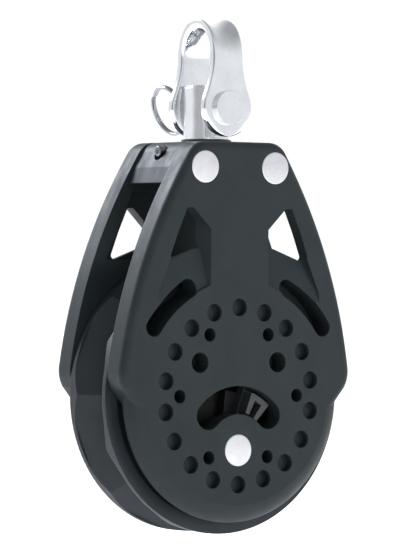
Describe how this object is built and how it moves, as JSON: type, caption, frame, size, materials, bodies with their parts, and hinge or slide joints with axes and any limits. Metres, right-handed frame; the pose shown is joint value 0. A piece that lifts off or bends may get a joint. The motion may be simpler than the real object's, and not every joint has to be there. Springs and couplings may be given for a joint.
{
  "type": "single sheave block",
  "caption": "Single sheave ratchet block: teardrop cheeks with side windows, faceted V-groove sheave on ball bearings, swivel head and shackle.",
  "frame": {"origin": "centre of the sheave, on its axis and on the middle plane of the groove", "axes": "+Z from the sheave towards the shackle, +Y along the sheave's axis towards the rear cheek, +X to the right seen from the front cheek"},
  "size_m": [0.075, 0.0426, 0.1398],
  "materials": {
    "cheek_nylon": "moulded matte, fine grain",
    "head_nylon": "moulded matte",
    "sheave_anodised": "dark hard-anodised, satin",
    "shackle_stainless": "polished",
    "post_stainless": "satin turned",
    "ring_stainless": "polished wire",
    "rivet_stainless": "satin",
    "ratchet_steel": "satin",
    "spring_steel": "bright wire",
    "core_alloy": "dark anodised",
    "bush_acetal": "turned",
    "cage_nylon": "moulded matte",
    "ball_acetal": "polished",
    "lever_acetal": "moulded satin"
  },
  "bodies": {
    "shackle": {"shackle": "shackle_stainless", "clevis_pin": "shackle_stainless"},
    "split_ring": {"split_ring": "ring_stainless"},
    "swivel": {"swivel_post": "post_stainless", "post_collar": "post_stainless"},
    "frame": {"front_cheek": "cheek_nylon", "rear_cheek": "cheek_nylon", "head_block": "head_nylon", "head_rivets": "rivet_stainless", "hub_rivet": "rivet_stainless", "ratchet_core": "core_alloy", "pawl_pins": "rivet_stainless", "pawl_spring_left": "spring_steel", "pawl_spring_right": "spring_steel", "post_bush": "bush_acetal", "thrust_washers": "bush_acetal", "lock_screw": "ratchet_steel"},
    "sheave": {"sheave": "sheave_anodised", "ratchet_ring": "ratchet_steel"},
    "front_bearing": {"front_ball_cage": "cage_nylon", "front_balls": "ball_acetal"},
    "rear_bearing": {"rear_ball_cage": "cage_nylon", "rear_balls": "ball_acetal"},
    "switch": {"switch_lever": "lever_acetal", "pawl_cam": "cage_nylon"},
    "pawl_left": {"pawl_left": "ratchet_steel"},
    "pawl_right": {"pawl_right": "ratchet_steel"}
  },
  "joints": [
    {"name": "shackle_swing", "type": "hinge", "parent": "shackle", "child": "swivel", "pos_m": [0, 0, 0.0776], "axis": [0, 1, 0], "range_deg": [-90, 90]},
    {"name": "ring_swing", "type": "hinge", "parent": "shackle", "child": "split_ring", "pos_m": [0, 0.0121, 0.0776], "axis": [-0.342, 0, 0.9397], "range_deg": [-50, 50]},
    {"name": "swivel_turn", "type": "hinge", "parent": "swivel", "child": "frame", "pos_m": [0, 0, 0.0637], "axis": [0, 0, 1], "continuous": true},
    {"name": "sheave_spin", "type": "hinge", "parent": "frame", "child": "sheave", "pos_m": [0, 0, 0], "axis": [0, 1, 0], "continuous": true},
    {"name": "front_bearing_roll", "type": "hinge", "parent": "frame", "child": "front_bearing", "pos_m": [0, -0.0096, 0], "axis": [0, 1, 0], "continuous": true},
    {"name": "rear_bearing_roll", "type": "hinge", "parent": "frame", "child": "rear_bearing", "pos_m": [0, 0.0096, 0], "axis": [0, 1, 0], "continuous": true},
    {"name": "switch_turn", "type": "hinge", "parent": "frame", "child": "switch", "pos_m": [0, -0.0093, -0.0146], "axis": [0, -1, 0], "range_deg": [0, 64]},
    {"name": "pawl_left_turn", "type": "hinge", "parent": "frame", "child": "pawl_left", "pos_m": [-0.0126, 0, 0.009], "axis": [0, -1, 0], "range_deg": [0, 20.4]},
    {"name": "pawl_right_turn", "type": "hinge", "parent": "frame", "child": "pawl_right", "pos_m": [0.0126, 0, 0.009], "axis": [0, -1, 0], "range_deg": [0, 20.4]}
  ],
  "couplings": [
    {"joint": "front_bearing_roll", "follows": "sheave_spin", "ratio": 0.5504},
    {"joint": "rear_bearing_roll", "follows": "sheave_spin", "ratio": 0.5504},
    {"joint": "pawl_left_turn", "follows": "switch_turn", "ratio": 0.31719},
    {"joint": "pawl_right_turn", "follows": "switch_turn", "ratio": 0.31719}
  ]
}
